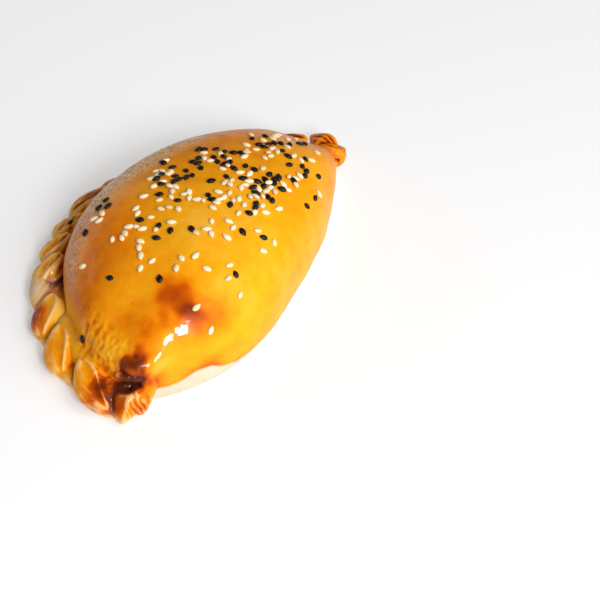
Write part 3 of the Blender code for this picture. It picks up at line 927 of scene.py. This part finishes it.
def glaze_edge(shape, points, along, tips, of_rope):
    """How high above the table the egg wash starts at each point."""
    x, y, _ = points.T
    plan = points * (1, 1, 0)
    t = x / shape.half_length
    high = EDGE_HEIGHT[0] + 0.0044 * bell(x + 0.0525, 0.0065) + waved(plan, EDGE_WAVE)
    high += waved(plan, EDGE_RIPPLE)
    low = EDGE_HEIGHT[1] + waved(points, LOW_EDGE_WAVE)
    if of_rope:
        low += 0.0016 * bell(along - 0.002, 0.008)
    fold_side = y < (shape.seam_y(t) + shape.fold_y(t)) / 2
    return np.where(fold_side & (tips < 0.5), high, low)


def unglazed(points, along, edge, of_rope):
    """How bare of egg wash each point is, from 0 to 1."""
    bare = 1 - step(edge - 0.0007, edge + 0.0004, points[:, 2])
    if of_rope:
        bare *= 1 - 0.92 * bell(along - 0.004, 0.020)
        bare = np.maximum(bare, 0.80 * spotted(points, SPARED_FOLD))
    return bare


def skin_mesh(shape, rough, grain, of_rope):
    """One finished skin of the crust, with what its material reads stored on its points."""
    mesh = remeshed(rough, grain)
    mean = neighbour_mean(mesh)
    points = coordinates(mesh)
    on_table = points[:, 2:] < 0.0006
    points = np.where(on_table, points, smoothed(points, mean, 2))
    along, out = shape.rim_place(points)
    if not of_rope:
        points = softened(points, mean, along, out)
    set_coordinates(mesh, points)

    seam_side = step(-0.030, -0.016, out)
    lift = relief(points, along, out, seam_side)
    if of_rope:
        torn, ridges = torn_end(points)
        lift += strands(points, along, out) + TEAR["depth"] * torn * ridges
    lift = (lift - pressed(points)) * step(0.0003, 0.0025, points[:, 2])
    points = points + normals(mesh) * lift[:, None]
    points[:, 2] = np.maximum(0.0, points[:, 2])
    set_coordinates(mesh, points)

    crest, ridge = standing(mesh, points, mean, grain)
    t = points[:, 0] / shape.half_length
    tips = np.maximum(step(-0.925, -0.985, t), step(0.93, 0.985, t))
    edge = glaze_edge(shape, points, along, tips, of_rope)
    bake = browned_and_painted_light(points, along, out, crest, tips)
    looks = {"bare": unglazed(points, along, edge, of_rope), "rope": np.full(len(points), float(of_rope))}
    if of_rope:
        bake += rope_browned_lit_and_shaded(along, crest, ridge) + torn * (TEAR["bake"] + TEAR["stripes"] * ridges)
        looks["crest"] = crest * (1 - np.maximum(0.5 * torn, 0.75 * step(*FAR_ROPE, along)))
        looks["gloss"] = glossy(points) - THIN_GLAZE * step(0.060, 0.085, along)
    else:
        bake += dough_browned_and_shaded(points, along, out, crest, edge)
        looks["crest"] = crest
        looks["gloss"] = glossy(points)
        looks["flank"] = seam_side * step(0.045, 0.010, points[:, 0])
        looks["leather"] = leathery(points, along, out)
    looks["bake"] = np.clip(bake, 0, 1)
    for name in ("bake", "bare", "rope", "crest", "flank", "leather", "gloss"):
        store(mesh, name, looks.get(name, np.zeros(len(points))))
    mesh.transform(Matrix.Translation(TIPS_TO_FRAME))
    mesh.polygons.foreach_set("use_smooth", np.ones(len(mesh.polygons), bool))
    mesh.update()
    return mesh


def sprinkle(shape):
    """Every seed, the largest first."""
    chance = random.Random(7)
    seeds = []

    def drop(x, y, kind):
        size = chance.uniform(*SEED_SIZE_RANGE)
        heading = chance.uniform(0, 2 * math.pi)
        seeds.append(Seed(x, y, kind, size, heading))

    for x, y in LONE_WHITE:
        drop(x, y, "white")
    for x, y in LONE_BLACK:
        drop(x, y, "black")
    for handful in SPRINKLES:
        for kind in ("white", "black"):
            for _ in range(getattr(handful, kind)):
                for _ in range(SEED_TRIES):
                    x = chance.gauss(handful.at[0], handful.spread[0])
                    y = chance.gauss(handful.at[1], handful.spread[1])
                    t = x / shape.half_length
                    inside = abs(t) < 0.93 and 0.90 * shape.fold_y(t) < y < 0.86 * shape.seam_y(t)
                    clear = all(math.hypot(x - seed.x, y - seed.y) > SEED_SPACING for seed in seeds)
                    if inside and clear:
                        drop(x, y, kind)
                        break
    return sorted(seeds, key=lambda seed: -seed.size)


def seed_point(point, length, width, thickness):
    """Where a point of the unit sphere lies on a seed: a flat teardrop with its tip at X."""
    tip, tail = max(0.0, point.x), max(0.0, -point.x)
    narrow = (1 - SEED_TIP["narrow"] * tip ** SEED_TIP["power"]) * (1 - SEED_TIP["tail"] * tail)
    flat = 1 - SEED_TIP["flat"] * tip
    return Vector((point.x * length, point.y * width * narrow, point.z * thickness * flat))


def topmost(trees, start):
    """Where a line straight down from start first meets one of the skins, and that skin's normal."""
    hits = [tree.ray_cast(start, Vector((0, 0, -1)))[:2] for tree in trees]
    return max((hit for hit in hits if hit[0] is not None), key=lambda hit: hit[0].z, default=(None, None))


def seeds_mesh(name, seeds, kind, size, trees):
    """The seeds of one kind in one mesh, lying on the skins that trees hold."""
    chance = random.Random(11)
    joined = bmesh.new()
    tone_layer = joined.verts.layers.float.new("tone")
    rim_layer = joined.verts.layers.float.new("rim")
    placed = []
    for seed in seeds:
        start = Vector((seed.x, seed.y, 0.2)) + TIPS_TO_FRAME
        hit, normal = topmost(trees, start)
        under = sum(math.hypot(seed.x - x, seed.y - y) < SEED_OVERLAP for x, y in placed)
        placed.append((seed.x, seed.y))
        tone, lean = chance.random(), chance.uniform(-0.30, 0.30)
        if hit is None or seed.kind != kind:
            continue
        length, width, thickness = (side * seed.size / 2 for side in size)
        raised = SEED_REST[0] + SEED_REST[1] * min(2, under)
        tilt = lean * (SEED_LEAN[0] + SEED_LEAN[1] * min(2, under))
        place = (
            Matrix.Translation(hit + normal * thickness * raised)
            @ normal.to_track_quat("Z", "Y").to_matrix().to_4x4()
            @ Matrix.Rotation(seed.heading, 4, "Z")
            @ Matrix.Rotation(tilt, 4, "Y")
        )
        made = bmesh.ops.create_icosphere(joined, subdivisions=2, radius=1)
        for vertex in made["verts"]:
            point = vertex.co
            vertex[tone_layer] = tone
            vertex[rim_layer] = 1 - abs(point.z)
            vertex.co = place @ seed_point(point, length, width, thickness)
    bmesh.ops.recalc_face_normals(joined, faces=joined.faces)
    mesh = mesh_of(joined, name)
    mesh.polygons.foreach_set("use_smooth", np.ones(len(mesh.polygons), bool))
    return mesh


class Wire:
    """A number in a material, on which sums are written as in Python."""

    def __init__(self, finish, socket):
        self.finish = finish
        self.socket = socket

    def sum_node(self, operation, first, second):
        return self.finish.number("ShaderNodeMath", {"operation": operation}, {0: first, 1: second})

    def __add__(self, other):
        return self.sum_node("ADD", self, other)

    __radd__ = __add__

    def __sub__(self, other):
        return self.sum_node("SUBTRACT", self, other)

    def __rsub__(self, other):
        return self.sum_node("SUBTRACT", other, self)

    def __mul__(self, other):
        return self.sum_node("MULTIPLY", self, other)

    __rmul__ = __mul__

    def clamped(self):
        return self.finish.number("ShaderNodeClamp", {}, {"Value": self})


class Finish:
    """A material on a Principled shader, and the nodes that feed it."""

    def __init__(self, name, **constants):
        self.material = bpy.data.materials.new(name)
        self.material.use_nodes = True
        self.nodes = self.material.node_tree.nodes
        self.links = self.material.node_tree.links
        self.shader = self.nodes["Principled BSDF"]
        for socket, value in constants.items():
            self.shader.inputs[socket.replace("_", " ")].default_value = value

    def node(self, kind, settings, sockets):
        made = self.nodes.new(kind)
        stops = settings.pop("stops", None)
        for name, value in settings.items():
            setattr(made, name, value)
        if stops:
            ramp = made.color_ramp.elements
            while len(ramp) < len(stops):
                ramp.new(0.5)
            for element, (position, colour) in zip(ramp, stops):
                element.position = position
                element.color = (*colour, 1.0)
        for name, value in sockets.items():
            self.feed(made.inputs[name], value)
        return made

    def feed(self, socket, value):
        if isinstance(value, Wire):
            self.links.new(value.socket, socket)
        elif hasattr(value, "__len__") and len(value) == 3 and socket.type == "RGBA":
            socket.default_value = (*value, 1.0)
        else:
            socket.default_value = value

    def number(self, kind, settings, sockets, output=0):
        return Wire(self, self.node(kind, settings, sockets).outputs[output])

    def attribute(self, name):
        return self.number("ShaderNodeAttribute", {"attribute_name": name}, {}, "Fac")

    def place(self):
        """The point on the object, in metres."""
        return self.number("ShaderNodeTexCoord", {}, {}, "Object")

    def mottle(self, size, detail=2.0, roughness=0.5):
        """Noise from 0 to 1 with patches of that size in metres."""
        sockets = {"Vector": self.place(), "Scale": 1 / size, "Detail": detail, "Roughness": roughness}
        return self.number("ShaderNodeTexNoise", {}, sockets)

    def speckle(self, size):
        """Distance from scattered points, in units of that size."""
        return self.number("ShaderNodeTexVoronoi", {}, {"Vector": self.place(), "Scale": 1 / size})

    def between(self, value, low, high):
        """0 at low, 1 at high."""
        sockets = {"Value": value, "From Min": low, "From Max": high, "To Min": 0.0, "To Max": 1.0}
        return self.number("ShaderNodeMapRange", {"clamp": True, "interpolation_type": "SMOOTHSTEP"}, sockets)

    def ramp(self, value, stops):
        return self.number("ShaderNodeValToRGB", {"stops": stops}, {"Fac": value}, "Color")

    def mix(self, factor, first, second, blend="MIX"):
        settings = {"data_type": "RGBA", "blend_type": blend}
        return self.number("ShaderNodeMix", settings, {0: factor, 6: first, 7: second}, 2)

    def bump(self, height, strength, distance, under=None):
        sockets = {"Height": height, "Strength": strength, "Distance": distance}
        if under:
            sockets["Normal"] = under
        return self.number("ShaderNodeBump", {}, sockets)

    def wear(self, **sockets):
        """Links values to the shader's own sockets."""
        for name, value in sockets.items():
            self.feed(self.shader.inputs[name.replace("_", " ")], value)
        return self.material

    def cover(self, factor, **sockets):
        """Covers the shader, where factor is 1, with a second one that has these values."""
        second = self.nodes.new("ShaderNodeBsdfPrincipled")
        for name, value in sockets.items():
            self.feed(second.inputs[name.replace("_", " ")], value)
        mixed = self.nodes.new("ShaderNodeMixShader")
        self.feed(mixed.inputs["Fac"], factor)
        self.links.new(self.shader.outputs["BSDF"], mixed.inputs[1])
        self.links.new(second.outputs["BSDF"], mixed.inputs[2])
        self.links.new(mixed.outputs["Shader"], self.nodes["Material Output"].inputs["Surface"])


# Shades that the bare dough and the black sesame vary towards.
BARE_SHADE = (0.76, 0.55, 0.32)
BLACK_SHADE = (0.030, 0.014, 0.010)

# At which share of baking each colour of the glaze is reached.
BAKED_STOPS = {"pale": 0.00, "golden": 0.26, "orange": 0.48, "rust": 0.64, "brown": 0.82, "burnt": 1.00}


def baked_colour(finish, colours, amount):
    """The glaze's colour, from pale where amount is 0 to burnt where it is 1."""
    return finish.ramp(amount, [(stop, tuple(getattr(colours, name))) for name, stop in BAKED_STOPS.items()])


def crust_finish(colours):
    """Egg-washed baked dough: golden on top, brown in patches, bare at the base, with painted highlights on
    the folds' crests and a painted sheen on the wrinkled skin.
    """
    finish = Finish("egg_washed_crust", IOR=1.25, Specular_IOR_Level=0.15, Coat_Roughness=0.08, Coat_IOR=1.58)
    bake, bare = finish.attribute("bake"), finish.attribute("bare")
    rope, crest, flank = finish.attribute("rope"), finish.attribute("crest"), finish.attribute("flank")
    leather, gloss = finish.attribute("leather"), finish.attribute("gloss")
    cloud = finish.mottle(0.0045, 4.0, 0.6)
    grain = finish.mottle(0.0011, 3.0, 0.6)
    # The amount holds oven browning together with painted shade and painted light.
    amount = (bake + (cloud - 0.5) * 0.22 + (grain - 0.5) * 0.07).clamped()
    baked = baked_colour(finish, colours, amount)
    # Painted highlight along the crests of the rope's folds, where they are not too brown.
    edges = finish.between(crest, 0.35, 0.95) * rope * finish.between(bake, 0.80, 0.50) * 0.70
    crest_highlighted = finish.mix(edges, baked, tuple(colours.crest))
    pits = finish.between(finish.speckle(0.0026), 0.16, 0.04) * finish.between(cloud, 0.50, 0.62) * 0.45
    speckled = finish.mix(pits, crest_highlighted, tuple(colours.brown))
    # Painted sheen: the wrinkled skin is mixed towards the sheen colour, a little all over and most along its
    # thread-like wrinkles.
    vein = finish.mottle(0.0024, 3.0, 0.55) - 0.5
    threads = finish.between(vein * vein, 0.0022, 0.0002)
    painted_sheen = finish.mix(leather * (0.06 + threads * 0.44), speckled, tuple(colours.painted_sheen))
    holes = finish.between(finish.speckle(0.0021), 0.30, 0.16) * leather
    skinned = finish.mix(holes * 0.5, painted_sheen, tuple(colours.brown))
    flour = finish.mix(finish.mottle(0.003, 3.0), tuple(colours.bare), BARE_SHADE)
    colour = finish.mix(bare, skinned, flour)
    glazed = (1 - bare) * (0.03 + flank * 0.09 + rope * 0.25 + gloss * 0.90).clamped()
    roughness = 0.30 + bare * 0.40 + rope * 0.08 + (grain - 0.5) * 0.12
    wrinkles = finish.mottle(0.0014, 4.0, 0.65) * (0.4 + flank * 0.5 + leather * 1.4 + rope * 0.5)
    normal = finish.bump(wrinkles, 0.30, 0.0004)
    fine = finish.bump(finish.mottle(0.00045, 3.0, 0.6), 0.12, 0.0002, normal)
    rippled = finish.bump(finish.mottle(0.0026, 1.5, 0.5) + threads * 0.12, 1.0, 0.0012)
    wet = leather * (1 - bare) * 0.85
    finish.cover(wet, Base_Color=colour, Roughness=0.13 + holes * 0.3, IOR=1.60, Normal=rippled)
    return finish.wear(Base_Color=colour, Roughness=roughness, Coat_Weight=glazed, Normal=fine)


def white_seed_finish(look):
    finish = Finish("white_sesame", IOR=1.45)
    tone, rim = finish.attribute("tone"), finish.attribute("rim")
    grain = finish.mottle(0.0007, 2.0)
    toasted = finish.between(rim, 0.62, 1.0) * 0.65 + finish.between(tone, 0.55, 1.0) * 0.35
    toasted = toasted * (0.6 + grain * 0.8)
    colour = finish.mix(toasted.clamped(), tuple(look.white), tuple(look.toasted))
    normal = finish.bump(grain, 0.2, 0.0002)
    return finish.wear(Base_Color=colour, Roughness=0.38 + grain * 0.10, Normal=normal)


def black_seed_finish(look):
    finish = Finish("black_sesame", IOR=1.35)
    tone = finish.attribute("tone")
    grain = finish.mottle(0.0005, 2.0)
    colour = finish.mix(finish.between(tone, 0.6, 1.0) * 0.5, tuple(look.black), BLACK_SHADE)
    normal = finish.bump(grain, 0.25, 0.0002)
    return finish.wear(Base_Color=colour, Roughness=0.36 + grain * 0.12, Normal=normal)


def floor_finish(colour):
    finish = Finish("pale_floor")
    tint = finish.mix(finish.mottle(0.2), tuple(colour), tuple(part * 0.998 for part in colour))
    glow = {"Emission_Color": (1.0, 1.0, 1.0), "Emission_Strength": FLOOR_GLOW}
    return finish.wear(Base_Color=tint, Roughness=0.85, **glow)


# Where the camera stands and looks, on the line between the tips.
LOOK_AT = Vector((0.0, 0.01475, 0.01506))
CAMERA_DISTANCE = 0.5946
CAMERA_HEADING = math.radians(31.34)
CAMERA_ELEVATION = math.radians(41.03)
FRAMING = (0.03653, -0.02485)

# A lamp: how far ahead of, above and right of the dough's middle it hangs, its sides and its watts.
Lamp = collections.namedtuple("Lamp", "name ahead above right sides energy")
LAMPS = (
    Lamp("key", -0.737, 0.511, 0.243, (0.24, 0.24), 5.2),
    Lamp("right", -0.70, 1.24, 1.25, (2.2, 2.2), 37.0),
    Lamp("left", 1.34, 0.50, -1.24, (1.8, 0.45), 5.0),
)
LIT_MIDDLE = Vector((0, 0, 0.02))
WORLD_LIGHT = 0.08

# The floor: half its width, how far it lies below the base and how much it glows.
FLOOR_REACH = 3.0
FLOOR_DROP = 0.0001
FLOOR_GLOW = 0.30


def camera_directions():
    """Forward, right and up of the view on the dough, before it is framed."""
    ahead = Vector((math.cos(CAMERA_HEADING), math.sin(CAMERA_HEADING), 0))
    right = Vector((math.sin(CAMERA_HEADING), -math.cos(CAMERA_HEADING), 0))
    forward = ahead * math.cos(CAMERA_ELEVATION) - Vector((0, 0, 1)) * math.sin(CAMERA_ELEVATION)
    up = ahead * math.sin(CAMERA_ELEVATION) + Vector((0, 0, 1)) * math.cos(CAMERA_ELEVATION)
    return forward, right, up


def hang(lamp):
    """Hangs an area lamp, turned to the middle of the dough."""
    forward, right, _ = camera_directions()
    ahead = Vector((forward.x, forward.y, 0)).normalized()
    light = bpy.data.lights.new(lamp.name, "AREA")
    light.shape = "RECTANGLE"
    light.size, light.size_y = lamp.sides
    light.energy = lamp.energy
    made = bpy.data.objects.new(lamp.name, light)
    bpy.context.scene.collection.objects.link(made)
    made.location = LIT_MIDDLE + ahead * lamp.ahead + Vector((0, 0, lamp.above)) + right * lamp.right
    made.rotation_mode = "QUATERNION"
    made.rotation_quaternion = (LIT_MIDDLE - made.location).to_track_quat("-Z", "Y")


def make_camera(lens):
    """Stands the camera at the photograph's angle, and aims it so that the dough lies where it should."""
    forward, right, up = camera_directions()
    data = bpy.data.cameras.new("camera")
    data.lens = lens
    data.sensor_width = 36
    data.clip_start = 0.01
    camera = bpy.data.objects.new("camera", data)
    bpy.context.scene.collection.objects.link(camera)
    centre = LOOK_AT + TIPS_TO_FRAME
    camera.location = centre - forward * CAMERA_DISTANCE
    aim = centre + right * FRAMING[0] + up * FRAMING[1]
    upright = Matrix((right, up, -forward)).transposed().to_quaternion()
    camera.rotation_mode = "QUATERNION"
    camera.rotation_quaternion = forward.rotation_difference((aim - camera.location).normalized()) @ upright
    bpy.context.scene.camera = camera


class EMPANADA_OT_crust(bpy.types.Operator):
    """Make the egg-washed crust with its roped seam"""

    bl_idname = "empanada.crust"
    bl_label = "Crust"

    def execute(self, context):
        sizes = context.scene.empanada_crust
        shape = Turnover(sizes)
        finish = crust_finish(context.scene.empanada_colours)
        dough = link("dough", skin_mesh(shape, rough_dough(shape), sizes.dough_grain, False))
        rope = link("rope", skin_mesh(shape, rough_rope(shape), sizes.rope_grain, True))
        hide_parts("seeded_crust")
        for made in (dough, rope):
            made.data.materials.append(finish)
            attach(made, "root")
        return {"FINISHED"}


class EMPANADA_OT_sesame(bpy.types.Operator):
    """Scatter the white and the black sesame over the crust"""

    bl_idname = "empanada.sesame"
    bl_label = "Sesame"

    def execute(self, context):
        look = context.scene.empanada_sesame
        graph = context.evaluated_depsgraph_get()
        trees = [BVHTree.FromObject(bpy.data.objects[name], graph) for name in ("dough", "rope")]
        seeds = sprinkle(Turnover(context.scene.empanada_crust))
        kinds = (
            ("white", tuple(look.white_size), white_seed_finish(look)),
            ("black", tuple(look.black_size), black_seed_finish(look)),
        )
        for kind, size, finish in kinds:
            name = f"{kind}_seeds"
            made = link(name, seeds_mesh(name, seeds, kind, size, trees))
            made.data.materials.append(finish)
            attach(made, "root")
        return {"FINISHED"}


class EMPANADA_OT_stage(bpy.types.Operator):
    """Set the floor, the soft lights and the camera"""

    bl_idname = "empanada.stage"
    bl_label = "Stage"

    def execute(self, context):
        look = context.scene.empanada_stage
        joined = bmesh.new()
        down = Matrix.Translation((0, 0, -FLOOR_DROP))
        bmesh.ops.create_grid(joined, x_segments=1, y_segments=1, size=FLOOR_REACH, matrix=down)
        floor = link("floor", mesh_of(joined, "floor"))
        floor.data.materials.append(floor_finish(look.floor))

        world = bpy.data.worlds.new("studio")
        world.use_nodes = True
        background = world.node_tree.nodes["Background"]
        background.inputs["Color"].default_value = (1, 1, 1, 1)
        background.inputs["Strength"].default_value = WORLD_LIGHT
        context.scene.world = world
        for lamp in LAMPS:
            hang(lamp)
        make_camera(look.lens)
        context.scene.view_settings.view_transform = "Standard"
        return {"FINISHED"}


class EMPANADA_PT_panel(bpy.types.Panel):
    """The steps and the sizes of the empanada"""

    bl_idname = "EMPANADA_PT_panel"
    bl_label = "Empanada"
    bl_space_type = "VIEW_3D"
    bl_region_type = "UI"
    bl_category = "Empanada"

    def draw(self, context):
        for operator in (EMPANADA_OT_crust, EMPANADA_OT_sesame, EMPANADA_OT_stage):
            self.layout.operator(operator.bl_idname)
        for group in GROUPS:
            settings = getattr(context.scene, group)
            for name in settings.__annotations__:
                self.layout.prop(settings, name)


GROUPS = {
    "empanada_crust": CrustSizes,
    "empanada_colours": CrustColours,
    "empanada_sesame": SesameSizes,
    "empanada_stage": StageLook,
}
CLASSES = (
    *GROUPS.values(),
    EMPANADA_OT_crust,
    EMPANADA_OT_sesame,
    EMPANADA_OT_stage,
    EMPANADA_PT_panel,
)


def register():
    for made in CLASSES:
        bpy.utils.register_class(made)
    for name, group in GROUPS.items():
        setattr(bpy.types.Scene, name, bpy.props.PointerProperty(type=group))


def unregister():
    for name in GROUPS:
        delattr(bpy.types.Scene, name)
    for made in reversed(CLASSES):
        bpy.utils.unregister_class(made)


def main():
    register()
    bpy.ops.empanada.stage()
    bpy.ops.empanada.crust()
    bpy.ops.empanada.sesame()


if __name__ == "__main__":
    main()
